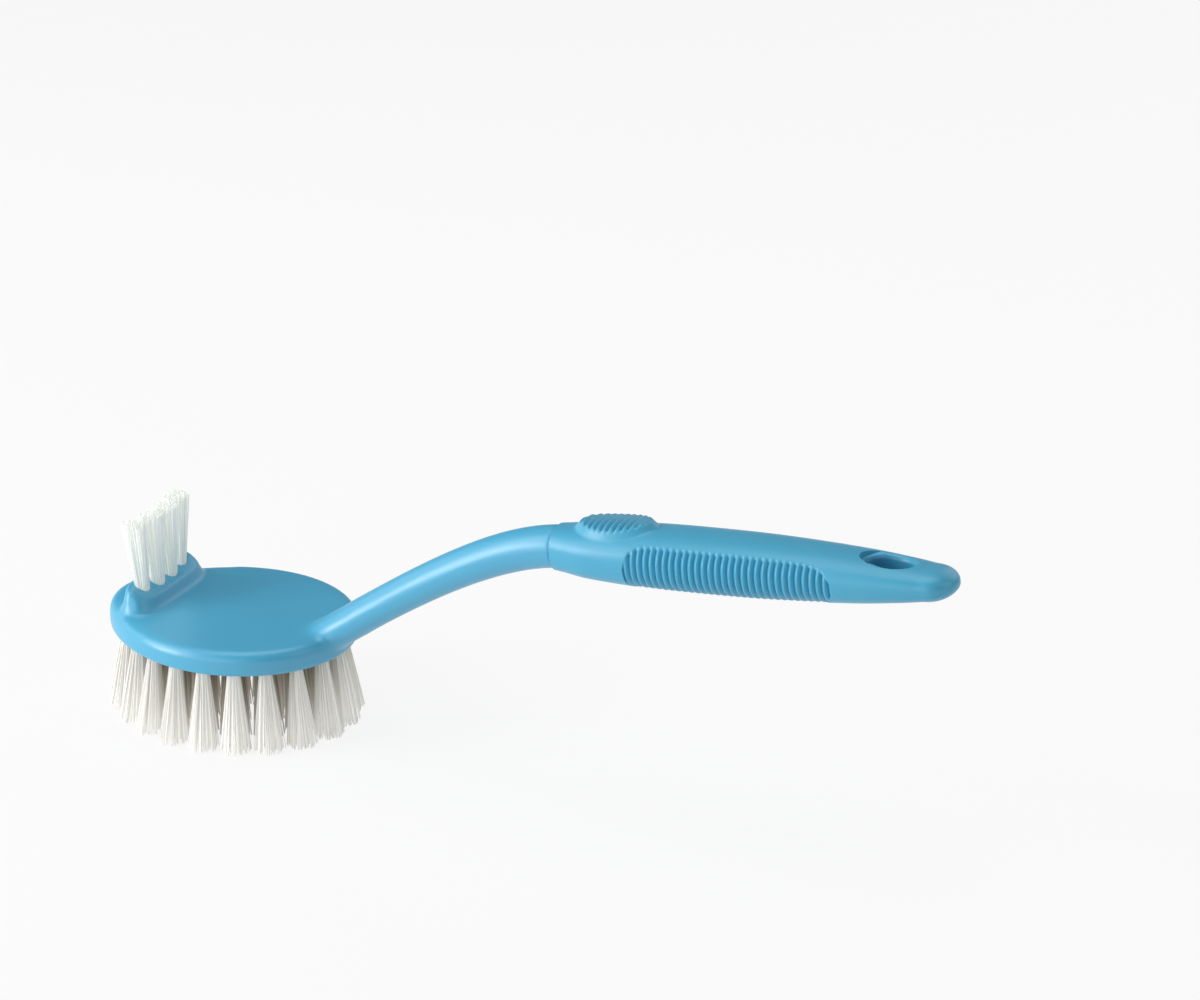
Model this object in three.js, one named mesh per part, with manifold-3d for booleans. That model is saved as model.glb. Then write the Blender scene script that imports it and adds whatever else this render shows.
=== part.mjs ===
// Basin brush: an oval head with tufts of bristle below and a small tip brush on a ridge above,
// a bent neck, and a ribbed grip with a thumb rest and a hanging hole.
// Millimetres, +Z up. The origin is the middle of the bristle tips, +X runs towards the grip's end.
import * as THREE from "three";
import { mergeVertices } from "three/addons/utils/BufferGeometryUtils.js";
import Module from "manifold-3d";

const wasm = await Module();
wasm.setup();

// Head block
const HEAD_WIDEST_X = 2.3;
const HEAD_TIP_REACH = 43.1;
const HEAD_NECK_REACH = 38.2;
const HEAD_WIDTH = 67.5;
const HEAD_TIP_NARROWING = 0.15;
const HEAD_THICKNESS = 7.5;
const HEAD_TOP_EDGE = 3.2;
const HEAD_BOTTOM_EDGE = 0.8;
const HEAD_SIDES = 48;
const HEAD_EDGE_STEPS = 5;

// Bristles under the head
const BRISTLE_LENGTH = 26.4;
const BRISTLE_SPLAY = 0.08;
const OUTER_RING_INSET = 5.8;
const RING_STEP = (HEAD_WIDTH / 2 - OUTER_RING_INSET) / 3;
const TUFT_RINGS = [
  { name: "outer", tufts: 20, inset: OUTER_RING_INSET },
  { name: "middle", tufts: 14, inset: OUTER_RING_INSET + RING_STEP },
  { name: "inner", tufts: 8, inset: OUTER_RING_INSET + 2 * RING_STEP, middleTuft: true },
];
const STRANDS_ROUND_TUFT = 6;
const STRAND_SIDES = 3;
const STRAND_RADIUS = 0.5;
const TUFT_ROOT_RADIUS = 1.25;
const TUFT_TIP_RADIUS = 3.8;

// Slices of the backing that the tufts stand in
const SLICE_THICKNESS = 1.2;
const SLICE_MARGIN = 3.2;
const CLEARANCE = 0.3;

// Tuft holes and the flat wire anchors that hold the tufts in them
const HOLE_RADIUS = 2;
const HOLE_SIDES = 8;
const HOLE_ROOF = 1.7;
const ANCHOR_LENGTH = 3.2;
const ANCHOR_HEIGHT = 1.8;
const ANCHOR_THICKNESS = 0.45;

// Ridge near the tip and the small brush that stands on it
const RIDGE_X = -24.4;
const RIDGE_BOW_RADIUS = 50;
const RIDGE_HALF_SPAN = 12.9;
const RIDGE_TOP_WIDTH = 8.8;
const RIDGE_FOOT_WIDTH = 12.4;
const RIDGE_HEIGHT = 4.9;
const TIP_TUFTS = 4;
const TIP_TUFT_PITCH = 7.2;
const TIP_BRISTLE_LENGTH = 23.2;
const TIP_TUFT_TIP_RADIUS = 3.3;
const TIP_FAN_DEGREES = 3.5;
const TIP_LEAN_DEGREES = 3.5;
const TIP_SLICE_WIDTH = 4.6;
const TIP_HOLE_DEPTH = 4.5;

// Neck
const NECK_ROOT_X = 29;
const NECK_ROOT_DEPTH = 5.9;
const NECK_ROOT_ANGLE = 36.5;
const NECK_ROOT_PULL = 33;
const NECK_END_ANGLE = 9;
const NECK_END_PULL = 24;
const NECK_ROOT_WIDTH = 12.5;
const NECK_ROOT_HEIGHT = 10.7;
const NECK_END_WIDTH = 13.4;
const NECK_END_HEIGHT = 12.8;
const NECK_STEPS = 14;
const NECK_SIDES = 20;

// Grip, in its own frame: x runs along it from the seam with the neck
const SEAM_X = 111.9;
const SEAM_RISE = 41.7;
const GRIP_LENGTH = 127;
const GRIP_RISE_ANGLE = 5.5;
const GRIP_SQUARENESS = 2.4;
const GRIP_SIDES = 24;
const GRIP_START = { width: 14.4, height: 13.4 };
const GRIP_SHOULDER = { at: 11.7, width: 20.5, height: 15.6 };
const GRIP_BELLY = { at: 43.7, width: 24.6, height: 17.4 };
const GRIP_TAIL = { beforeEnd: 30, width: 22, height: 13.8 };
const GRIP_HEEL = { beforeEnd: 8.5, width: 17, height: 9.2 };

// Ribs on both sides of the grip and on the thumb rest
const RIB_PITCH = 2.1;
const SIDE_RIBS = 32;
const SIDE_RIBS_START = 26.3;
const SIDE_RIB_DEPTH = 0.8;
const SIDE_RIB_REACH = 50;
const THUMB_RIBS = 10;
const THUMB_RIB_DEPTH = 0.7;
const THUMB_AT = 19.2;
const THUMB_LENGTH = 29;
const THUMB_WIDTH = 16;
const THUMB_LIFT = 2.2;
const THUMB_ROOT = 2.4;
const THUMB_SIDES = 16;

// Hanging hole through the grip's tail
const HANG_HOLE_BEFORE_END = 20.8;
const HANG_HOLE_LENGTH = 17;
const HANG_HOLE_WIDTH = 10;
const HANG_HOLE_STEPS = 8;

// Tang of the neck inside the grip
const TANG_LENGTH = 88;
const TANG_START_WIDTH = 8.4;
const TANG_START_HEIGHT = 7.4;
const TANG_END_WIDTH = 6;
const TANG_END_HEIGHT = 5;
const TANG_STEPS = 3;
const TANG_SIDES = 12;

const UNDERSIDE_Z = BRISTLE_LENGTH;
const DECK_Z = UNDERSIDE_Z + HEAD_THICKNESS;
const RIDGE_TOP_Z = DECK_Z + RIDGE_HEIGHT;
const SEAM_Z = DECK_Z + SEAM_RISE;
const radians = THREE.MathUtils.degToRad;

const bluePlastic = () =>
  new THREE.MeshStandardMaterial({ color: 0x4fa6cf, roughness: 0.35, metalness: 0 });
const softBluePlastic = () =>
  new THREE.MeshStandardMaterial({ color: 0x53a9d1, roughness: 0.45, metalness: 0 });
const bristleNylon = () =>
  new THREE.MeshStandardMaterial({ color: 0xe6e3da, roughness: 0.5, metalness: 0 });
const tipNylon = () =>
  new THREE.MeshStandardMaterial({ color: 0xe9f1ee, roughness: 0.5, metalness: 0 });
const anchorWire = () =>
  new THREE.MeshStandardMaterial({ color: 0xb9a36a, roughness: 0.35, metalness: 1 });

// A closed geometry as a solid for joining and cutting.
function solidOf(geometry) {
  const bare = new THREE.BufferGeometry().setAttribute("position", geometry.getAttribute("position"));
  if (geometry.index) bare.setIndex(geometry.index);
  const merged = mergeVertices(bare, 1e-4);
  const triVerts = new Uint32Array(merged.index.array);
  const vertProperties = merged.getAttribute("position").array;
  return new wasm.Manifold(new wasm.Mesh({ numProp: 3, vertProperties, triVerts }));
}

function geometryOf(solid) {
  const mesh = solid.getMesh();
  const geometry = new THREE.BufferGeometry();
  geometry.setAttribute("position", new THREE.BufferAttribute(mesh.vertProperties, 3));
  geometry.setIndex(new THREE.BufferAttribute(mesh.triVerts, 1));
  geometry.computeVertexNormals();
  return geometry;
}

function named(name, geometry, material) {
  const mesh = new THREE.Mesh(geometry, material);
  mesh.name = name;
  return mesh;
}

// A closed skin over rings of equally many points, with a flat fan at each end.
function loft(rings) {
  const sides = rings[0].length;
  const points = rings.flat();
  const faces = [];
  for (let i = 0; i + 1 < rings.length; i++) {
    for (let k = 0; k < sides; k++) {
      const a = i * sides + k;
      const b = i * sides + ((k + 1) % sides);
      faces.push(a, b, b + sides, a, b + sides, a + sides);
    }
  }
  const last = points.length - sides;
  for (let k = 1; k + 1 < sides; k++) {
    faces.push(0, k + 1, k, last, last + k, last + k + 1);
  }
  return new THREE.BufferGeometry().setFromPoints(points).setIndex(faces);
}

// A ring of points round an axis along +X: a superellipse that is squarer as the power grows.
function sectionAcrossX(x, width, height, power, sides) {
  return Array.from({ length: sides }, (_, k) => {
    const turn = (k / sides) * 2 * Math.PI;
    const bend = (v) => Math.sign(v) * Math.abs(v) ** (2 / power);
    return new THREE.Vector3(x, (bend(Math.cos(turn)) * width) / 2, (bend(Math.sin(turn)) * height) / 2);
  });
}

// A value that runs smoothly through stations of {at, value}.
function smoothThrough(stations) {
  const curve = new THREE.SplineCurve(stations.map((s) => new THREE.Vector2(s.at, s.value)));
  const spans = stations.length - 1;
  return (at) => {
    let i = 0;
    while (i < spans - 1 && at > stations[i + 1].at) i++;
    let low = i / spans;
    let high = (i + 1) / spans;
    for (let n = 0; n < 30; n++) {
      const middle = (low + high) / 2;
      if (curve.getPoint(middle).x < at) low = middle;
      else high = middle;
    }
    return curve.getPoint(low).y;
  };
}

// A point of the head's outline, drawn in by inset: an oval round its widest place that narrows to the tip.
function headPoint(inset, turn) {
  const c = Math.cos(turn);
  const reach = (c < 0 ? HEAD_TIP_REACH : HEAD_NECK_REACH) - inset;
  const narrow = 1 - HEAD_TIP_NARROWING * Math.min(0, c) ** 2;
  const across = (HEAD_WIDTH / 2 - inset) * Math.sin(turn) * narrow;
  return new THREE.Vector2(HEAD_WIDEST_X + reach * c, across);
}

function headOutline(inset) {
  return Array.from({ length: HEAD_SIDES }, (_, k) => headPoint(inset, (k / HEAD_SIDES) * 2 * Math.PI));
}

function prism(shape, low, high, curveSegments) {
  const geometry = new THREE.ExtrudeGeometry(shape, {
    depth: high - low,
    bevelEnabled: false,
    curveSegments,
  });
  return geometry.translate(0, 0, low);
}

// Places of the tufts in one ring under the head, the same distance apart along its outline.
function ringPlaces(ring) {
  const corners = headOutline(ring.inset).map((p) => new THREE.Vector3(p.x, p.y, 0));
  const line = new THREE.CatmullRomCurve3(corners, true);
  const places = Array.from({ length: ring.tufts }, (_, k) => line.getPointAt((k + 0.5) / ring.tufts));
  if (ring.middleTuft) places.push(new THREE.Vector3(0, 0, 0));
  return places;
}

// Places of the tip brush's tufts along the bowed ridge.
function tipPlaces() {
  return Array.from({ length: TIP_TUFTS }, (_, k) => {
    const turn = ((k - (TIP_TUFTS - 1) / 2) * TIP_TUFT_PITCH) / RIDGE_BOW_RADIUS;
    return ridgePoint(turn, 0);
  });
}

// A point of the ridge: turn along its bow, and a distance out from its middle line.
function ridgePoint(turn, out) {
  const radius = RIDGE_BOW_RADIUS + out;
  const centreX = RIDGE_X - RIDGE_BOW_RADIUS;
  return new THREE.Vector2(centreX + radius * Math.cos(turn), radius * Math.sin(turn));
}

// The plan of a band along the ridge, with round ends.
function ridgeBand(width, halfSpan, endSteps, runSteps) {
  const reach = halfSpan / RIDGE_BOW_RADIUS;
  const half = width / 2;
  const turns = Array.from({ length: runSteps + 1 }, (_, i) => -reach + (2 * reach * i) / runSteps);
  const points = turns.map((turn) => ridgePoint(turn, half));
  for (const side of [1, -1]) {
    const end = ridgePoint(side * reach, 0);
    for (let i = 1; i < endSteps; i++) {
      const turn = side * reach + (side > 0 ? 0 : Math.PI) + (Math.PI * i) / endSteps;
      points.push(new THREE.Vector2(end.x + half * Math.cos(turn), end.y + half * Math.sin(turn)));
    }
    if (side > 0) points.push(...turns.toReversed().map((turn) => ridgePoint(turn, -half)));
  }
  return points;
}

// One strand: a three-sided rod from its root to its tip, with both ends level.
function strand(root, tip) {
  const ring = (middle) =>
    Array.from({ length: STRAND_SIDES }, (_, k) => {
      const turn = (k / STRAND_SIDES) * 2 * Math.PI;
      const x = middle.x + STRAND_RADIUS * Math.cos(turn);
      return new THREE.Vector3(x, middle.y + STRAND_RADIUS * Math.sin(turn), middle.z);
    });
  const [low, high] = root.z < tip.z ? [root, tip] : [tip, root];
  return loft([ring(low), ring(high)]);
}

// The strands of one tuft, opening from its root circle to its tip circle.
function tuft(root, tip, tipRadius) {
  const rods = [strand(root, tip)];
  for (let k = 0; k < STRANDS_ROUND_TUFT; k++) {
    const turn = ((k + 0.5) / STRANDS_ROUND_TUFT) * 2 * Math.PI;
    const way = new THREE.Vector3(Math.cos(turn), Math.sin(turn), 0);
    const from = root.clone().addScaledVector(way, TUFT_ROOT_RADIUS);
    rods.push(strand(from, tip.clone().addScaledVector(way, tipRadius)));
  }
  return rods.map(solidOf);
}

function bristles(name, slice, tufts, material) {
  const solid = wasm.Manifold.union([slice, ...tufts.flat()]);
  return named(name, geometryOf(solid), material);
}

// The slice of backing under one ring of tufts: an oval band, or an oval plate for the innermost ring.
function ringSlice(index) {
  const [before, ring, after] = [TUFT_RINGS[index - 1], TUFT_RINGS[index], TUFT_RINGS[index + 1]];
  const shape = new THREE.Shape(headOutline(sliceEdge(before, ring) + CLEARANCE / 2));
  if (after) shape.holes.push(new THREE.Path(headOutline(sliceEdge(ring, after) - CLEARANCE / 2)));
  return solidOf(prism(shape, UNDERSIDE_Z, UNDERSIDE_Z + SLICE_THICKNESS));
}

// The inset of the line where two rings' slices meet, or of the outermost slice's rim.
function sliceEdge(outer, inner) {
  return outer ? (outer.inset + inner.inset) / 2 : inner.inset - SLICE_MARGIN;
}

function ringBristles(index) {
  const ring = TUFT_RINGS[index];
  const rootZ = UNDERSIDE_Z + SLICE_THICKNESS / 2;
  const tufts = ringPlaces(ring).map((place) => {
    const root = new THREE.Vector3(place.x, place.y, rootZ);
    const tip = new THREE.Vector3(place.x, place.y, 0).multiplyScalar(1 + BRISTLE_SPLAY);
    return tuft(root, tip, TUFT_TIP_RADIUS);
  });
  return bristles(`${ring.name}_bristles`, ringSlice(index), tufts, bristleNylon());
}

function tipBristles() {
  const band = new THREE.Shape(ridgeBand(TIP_SLICE_WIDTH, tipSliceHalfSpan(), 4, 6));
  const slice = solidOf(prism(band, RIDGE_TOP_Z - SLICE_THICKNESS, RIDGE_TOP_Z));
  const places = tipPlaces();
  const furthest = places[places.length - 1].y;
  const tufts = places.map((place) => {
    const rise = TIP_BRISTLE_LENGTH + SLICE_THICKNESS / 2;
    const fan = Math.tan(radians(TIP_FAN_DEGREES)) * (place.y / furthest) * rise;
    const lean = Math.tan(radians(TIP_LEAN_DEGREES)) * rise;
    const root = new THREE.Vector3(place.x, place.y, RIDGE_TOP_Z - SLICE_THICKNESS / 2);
    const tip = new THREE.Vector3(place.x - lean, place.y + fan, RIDGE_TOP_Z + TIP_BRISTLE_LENGTH);
    return tuft(root, tip, TIP_TUFT_TIP_RADIUS);
  });
  return bristles("tip_bristles", slice, tufts, tipNylon());
}

function tipSliceHalfSpan() {
  return ((TIP_TUFTS - 1) / 2) * TIP_TUFT_PITCH;
}

function tuftHole(place, low, high) {
  const hole = new THREE.CylinderGeometry(HOLE_RADIUS, HOLE_RADIUS, high - low, HOLE_SIDES);
  hole.rotateX(Math.PI / 2).translate(place.x, place.y, (low + high) / 2);
  return solidOf(hole);
}

// The oval block, with its rounded top edge and its small bottom edge.
function headBlock() {
  const ring = (inset, height) =>
    headOutline(inset).map((p) => new THREE.Vector3(p.x, p.y, UNDERSIDE_Z + height));
  const rings = [ring(HEAD_BOTTOM_EDGE, 0), ring(0, HEAD_BOTTOM_EDGE)];
  for (let i = 0; i <= HEAD_EDGE_STEPS; i++) {
    const turn = (Math.PI / 2) * (i / HEAD_EDGE_STEPS);
    const drop = HEAD_TOP_EDGE * (1 - Math.sin(turn));
    rings.push(ring(HEAD_TOP_EDGE * (1 - Math.cos(turn)), HEAD_THICKNESS - drop));
  }
  return solidOf(loft(rings));
}

// The shallow recess in the underside that the slices of backing lie in.
function undersideRecess() {
  const shape = new THREE.Shape(headOutline(sliceEdge(undefined, TUFT_RINGS[0]) - CLEARANCE / 2));
  return solidOf(prism(shape, 0, UNDERSIDE_Z + SLICE_THICKNESS + CLEARANCE));
}

// The ridge: a bowed bar with sloping sides, standing in the deck.
function ridge() {
  const foot = ridgeBand(RIDGE_FOOT_WIDTH, RIDGE_HALF_SPAN, 6, 8);
  const top = ridgeBand(RIDGE_TOP_WIDTH, RIDGE_HALF_SPAN, 6, 8);
  const level = (points, z) => points.map((p) => new THREE.Vector3(p.x, p.y, z));
  const sunk = DECK_Z - HEAD_TOP_EDGE / 2;
  const rings = [level(foot, sunk), level(foot, DECK_Z), level(top, RIDGE_TOP_Z)];
  const recess = new THREE.Shape(ridgeBand(TIP_SLICE_WIDTH + 2 * CLEARANCE, tipSliceHalfSpan(), 4, 6));
  const recessFloor = RIDGE_TOP_Z - SLICE_THICKNESS - CLEARANCE;
  return solidOf(loft(rings)).subtract(solidOf(prism(recess, recessFloor, RIDGE_TOP_Z + 1)));
}

function gripFrame() {
  const frame = new THREE.Group();
  frame.position.set(SEAM_X, 0, SEAM_Z);
  frame.rotation.y = -radians(GRIP_RISE_ANGLE);
  frame.updateMatrixWorld(true);
  return frame;
}

// The neck's middle line, from inside the head to the seam.
function neckLine() {
  const along = (angle) => new THREE.Vector3(Math.cos(radians(angle)), 0, Math.sin(radians(angle)));
  const root = new THREE.Vector3(NECK_ROOT_X, 0, DECK_Z - NECK_ROOT_DEPTH);
  const seam = new THREE.Vector3(SEAM_X, 0, SEAM_Z);
  const leave = root.clone().addScaledVector(along(NECK_ROOT_ANGLE), NECK_ROOT_PULL);
  const arrive = seam.clone().addScaledVector(along(NECK_END_ANGLE), -NECK_END_PULL);
  return new THREE.CubicBezierCurve3(root, leave, arrive, seam);
}

function neck() {
  const line = neckLine();
  const rings = Array.from({ length: NECK_STEPS + 1 }, (_, i) => {
    const share = i / NECK_STEPS;
    const middle = line.getPoint(share);
    const way = line.getTangent(share);
    const pitch = i < NECK_STEPS ? Math.atan2(way.z, way.x) : radians(GRIP_RISE_ANGLE);
    const width = THREE.MathUtils.lerp(NECK_ROOT_WIDTH, NECK_END_WIDTH, share);
    const height = THREE.MathUtils.lerp(NECK_ROOT_HEIGHT, NECK_END_HEIGHT, share);
    const turned = new THREE.Matrix4().makeRotationY(-pitch).setPosition(middle);
    return sectionAcrossX(0, width, height, 2, NECK_SIDES).map((p) => p.applyMatrix4(turned));
  });
  return solidOf(loft(rings));
}

// The tang in the grip's frame, starting inside the neck. Extra grows it all round, for its socket.
function tang(extra) {
  const start = -2;
  const rings = Array.from({ length: TANG_STEPS + 1 }, (_, i) => {
    const share = i / TANG_STEPS;
    const x = THREE.MathUtils.lerp(start, TANG_LENGTH + extra, share);
    const width = THREE.MathUtils.lerp(TANG_START_WIDTH, TANG_END_WIDTH, share) + 2 * extra;
    const height = THREE.MathUtils.lerp(TANG_START_HEIGHT, TANG_END_HEIGHT, share) + 2 * extra;
    return sectionAcrossX(x, width, height, GRIP_SQUARENESS, TANG_SIDES);
  });
  return loft(rings);
}

// Head, ridge, neck and tang are one moulding, with a blind hole for each tuft.
function headAndNeck() {
  const rootTang = solidOf(tang(0).applyMatrix4(gripFrame().matrixWorld));
  const holes = TUFT_RINGS.flatMap(ringPlaces).map((place) =>
    tuftHole(place, UNDERSIDE_Z, DECK_Z - HOLE_ROOF),
  );
  const tipHoleTop = RIDGE_TOP_Z - SLICE_THICKNESS;
  for (const place of tipPlaces()) holes.push(tuftHole(place, tipHoleTop - TIP_HOLE_DEPTH, tipHoleTop));
  const body = wasm.Manifold.union([headBlock(), ridge(), neck(), rootTang]);
  const solid = body.subtract(wasm.Manifold.union([undersideRecess(), ...holes]));
  return named("head_and_neck", geometryOf(solid), bluePlastic());
}

// Width and height of the grip along its length.
function gripSizes() {
  const stations = [
    { at: 0, ...GRIP_START },
    GRIP_SHOULDER,
    GRIP_BELLY,
    { at: GRIP_LENGTH - GRIP_TAIL.beforeEnd, ...GRIP_TAIL },
    { at: GRIP_LENGTH - GRIP_HEEL.beforeEnd, ...GRIP_HEEL },
  ];
  return {
    width: smoothThrough(stations.map((s) => ({ at: s.at, value: s.width }))),
    height: smoothThrough(stations.map((s) => ({ at: s.at, value: s.height }))),
  };
}

const sideRibsEnd = SIDE_RIBS_START + SIDE_RIBS * RIB_PITCH;

// How deep the side ribs' valleys cut at a place along the grip and an angle up from its side.
function sideRibCut(x, angle) {
  const middle = (SIDE_RIBS_START + sideRibsEnd) / 2;
  const share = (x - middle) / (sideRibsEnd - middle);
  if (Math.abs(share) >= 1) return 0;
  const reach = radians(SIDE_RIB_REACH) * (1 - share ** 4) ** 0.5;
  return Math.abs(angle) < reach ? SIDE_RIB_DEPTH : 0;
}

// Stations along the grip: plain ones, then a crest and a valley for each rib, then the rounded end.
function gripStations() {
  const stations = [];
  const plain = (from, to, steps) => {
    for (let i = 0; i < steps; i++) stations.push({ x: from + ((to - from) * i) / steps, valley: false });
  };
  const heel = GRIP_LENGTH - GRIP_HEEL.beforeEnd;
  plain(CLEARANCE, GRIP_SHOULDER.at, 4);
  plain(GRIP_SHOULDER.at, SIDE_RIBS_START, 3);
  for (let i = 0; i < SIDE_RIBS; i++) {
    stations.push({ x: SIDE_RIBS_START + i * RIB_PITCH, valley: false });
    stations.push({ x: SIDE_RIBS_START + (i + 0.5) * RIB_PITCH, valley: true });
  }
  plain(sideRibsEnd, heel, 4);
  return stations;
}

function gripBody() {
  const sizes = gripSizes();
  const rings = gripStations().map(({ x, valley }) => {
    const ring = sectionAcrossX(x, sizes.width(x), sizes.height(x), GRIP_SQUARENESS, GRIP_SIDES);
    if (!valley) return ring;
    return ring.map((point) => {
      const angle = Math.atan2(point.z, Math.abs(point.y));
      const cut = sideRibCut(x, angle);
      const inward = new THREE.Vector3(0, point.y, point.z).normalize().multiplyScalar(-cut);
      return point.add(inward);
    });
  });
  const heel = GRIP_LENGTH - GRIP_HEEL.beforeEnd;
  for (const turn of [0, 25, 45, 62, 76, 86].map(radians)) {
    const x = heel + GRIP_HEEL.beforeEnd * Math.sin(turn);
    const width = GRIP_HEEL.width * Math.cos(turn);
    const height = GRIP_HEEL.height * Math.cos(turn);
    rings.push(sectionAcrossX(x, width, height, GRIP_SQUARENESS, GRIP_SIDES));
  }
  return solidOf(loft(rings));
}

// The thumb rest: a lens-shaped pad on top of the grip, ribbed across.
function thumbRest() {
  const sizes = gripSizes();
  const topZ = sizes.height(THUMB_AT) / 2;
  const ribsHalf = (THUMB_RIBS * RIB_PITCH) / 2;
  const end = THUMB_LENGTH / 2;
  const places = [-0.98 * end, -0.9 * end];
  for (let i = 0; i <= 2 * THUMB_RIBS; i++) places.push(-ribsHalf + (i * RIB_PITCH) / 2);
  places.push(0.9 * end, 0.98 * end);
  const rings = places.map((x, i) => {
    const share = x / end;
    const swell = (1 - share * share) ** 0.5;
    const ribbed = Math.abs(x) < ribsHalf && i % 2 === 1;
    const height = (THUMB_LIFT + THUMB_ROOT) * swell - (ribbed ? THUMB_RIB_DEPTH : 0);
    const ring = sectionAcrossX(THUMB_AT + x, THUMB_WIDTH * swell, 2 * height, 2, THUMB_SIDES);
    return ring.map((p) => new THREE.Vector3(p.x, p.y, p.z + topZ - THUMB_ROOT));
  });
  return solidOf(loft(rings));
}

function hangingHole() {
  const half = HANG_HOLE_WIDTH / 2;
  const run = HANG_HOLE_LENGTH / 2 - half;
  const shape = new THREE.Shape();
  shape.absarc(run, 0, half, -Math.PI / 2, Math.PI / 2);
  shape.absarc(-run, 0, half, Math.PI / 2, (3 * Math.PI) / 2);
  const cut = prism(shape, -GRIP_BELLY.height, GRIP_BELLY.height, HANG_HOLE_STEPS);
  return solidOf(cut.translate(GRIP_LENGTH - HANG_HOLE_BEFORE_END, 0, 0));
}

function handleGrip() {
  const body = gripBody().add(thumbRest());
  const solid = body.subtract(solidOf(tang(CLEARANCE))).subtract(hangingHole());
  return named("handle_grip", geometryOf(solid), softBluePlastic());
}

// A flat wire anchor, lying across its tuft hole.
function anchor(name, place, z, turn) {
  const wire = new THREE.BoxGeometry(ANCHOR_LENGTH, ANCHOR_THICKNESS, ANCHOR_HEIGHT);
  const mesh = named(name, wire, anchorWire());
  mesh.position.set(place.x, place.y, z);
  mesh.rotation.z = turn;
  return mesh;
}

function anchors() {
  const number = (k) => String(k + 1).padStart(2, "0");
  const ringZ = DECK_Z - HOLE_ROOF - CLEARANCE - ANCHOR_HEIGHT / 2;
  const meshes = TUFT_RINGS.flatMap((ring) =>
    ringPlaces(ring).map((place, k) =>
      anchor(`${ring.name}_anchor_${number(k)}`, place, ringZ, Math.atan2(place.y, place.x)),
    ),
  );
  const tipZ = RIDGE_TOP_Z - SLICE_THICKNESS - TIP_HOLE_DEPTH + CLEARANCE + ANCHOR_HEIGHT / 2;
  tipPlaces().forEach((place, k) => meshes.push(anchor(`tip_anchor_${number(k)}`, place, tipZ, 0)));
  return meshes;
}

const brush = new THREE.Group();
brush.add(headAndNeck());
const grip = gripFrame();
grip.add(handleGrip());
brush.add(grip);
TUFT_RINGS.forEach((_, index) => brush.add(ringBristles(index)));
brush.add(tipBristles());
brush.add(...anchors());

export default brush;
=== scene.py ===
import bisect
import math
import random

import bmesh
import bpy
from mathutils import Matrix, Vector


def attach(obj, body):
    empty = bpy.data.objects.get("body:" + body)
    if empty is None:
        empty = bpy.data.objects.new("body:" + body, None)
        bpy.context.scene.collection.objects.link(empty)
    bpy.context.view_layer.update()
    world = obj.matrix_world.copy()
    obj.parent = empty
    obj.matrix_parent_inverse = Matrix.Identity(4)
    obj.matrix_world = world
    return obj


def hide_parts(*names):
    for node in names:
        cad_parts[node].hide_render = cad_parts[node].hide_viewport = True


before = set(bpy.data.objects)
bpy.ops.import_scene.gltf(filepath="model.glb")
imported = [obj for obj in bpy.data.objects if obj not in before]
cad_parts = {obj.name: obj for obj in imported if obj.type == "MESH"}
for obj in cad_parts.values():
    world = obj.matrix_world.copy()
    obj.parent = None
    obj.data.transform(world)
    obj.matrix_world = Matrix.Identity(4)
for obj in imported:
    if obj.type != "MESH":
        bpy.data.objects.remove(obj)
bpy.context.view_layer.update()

# Basin brush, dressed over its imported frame. Metres, bristle tips at z = 0, +X towards the grip's end.
MM = 0.001

# Head block
HEAD_WIDEST_X = 2.3 * MM
HEAD_TIP_REACH = 43.1 * MM
HEAD_NECK_REACH = 36.9 * MM
HEAD_WIDTH = 67.5 * MM
HEAD_TIP_NARROWING = 0.15
HEAD_THICKNESS = 7.5 * MM
UNDERSIDE = 26.4 * MM
DECK = UNDERSIDE + HEAD_THICKNESS
HEAD_SIDES = 160
RIM_ROUND, RIM_SEGMENTS = 3.4 * MM, 10
LOW_EDGE_ROUND, LOW_EDGE_SEGMENTS = 0.9 * MM, 4

# Ridge across the tip: in is towards the deck, out towards the tip, span to both ends
RIDGE_X = -26 * MM
RIDGE_TOP = DECK + 4.3 * MM
RIDGE_TOP_IN, RIDGE_TOP_OUT, RIDGE_TOP_SPAN = 5.2 * MM, 4.6 * MM, 17.4 * MM
RIDGE_FOOT_IN, RIDGE_FOOT_OUT, RIDGE_FOOT_SPAN = 7.2 * MM, 6 * MM, 20.2 * MM
RIDGE_BURIED = 2.5 * MM
RIDGE_RISE = 2.9 * MM
RIDGE_RISE_RUN = 6.5 * MM
RIDGE_SQUARENESS_IN, RIDGE_SQUARENESS_OUT = 4, 2.3
RIDGE_SIDES = 96

# Neck, from the head's far rim to the seam, with a stub that goes into the grip
NECK_ROOT = Vector((29 * MM, 0, DECK - 5.9 * MM))
NECK_ROOT_ANGLE = math.radians(36.5)
NECK_ROOT_PULL = 33 * MM
SEAM = Vector((111.9 * MM, 0, DECK + 41.7 * MM))
NECK_END_ANGLE = math.radians(9)
NECK_END_PULL = 24 * MM
NECK_SIDES, NECK_STEPS = 48, 40
STUB_SHOULDER = 0.01 * MM
STUB_LENGTH = 6 * MM
STUB_START_SIZE = (5.2 * MM, 5.6 * MM, 5.2 * MM)
STUB_END_SIZE = (5.0 * MM, 5.4 * MM, 5.0 * MM)

# How the moulding of head, ridge and neck is softened: a pair is where a change starts and ends
MOULDING_VOXEL = 0.5 * MM
SOFTEN = 0.5
SOFTEN_ROUNDS, RIDGE_FILLET_ROUNDS, ROOT_FILLET_ROUNDS = 4, 60, 150
FILLETS_BEGIN = (UNDERSIDE + 2 * MM, UNDERSIDE + 4 * MM)
RIDGE_FILLET_SHARE = 1.05
RIDGE_FILLET_REACH = (0.45, 0.8)
RIDGE_FILLET_HEIGHT = (2.4 * MM, 4 * MM)
ROOT_FILLET_AT = Vector((33 * MM, 0, DECK + 1 * MM))
ROOT_FILLET_REACH = (8 * MM, 15 * MM)

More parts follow.
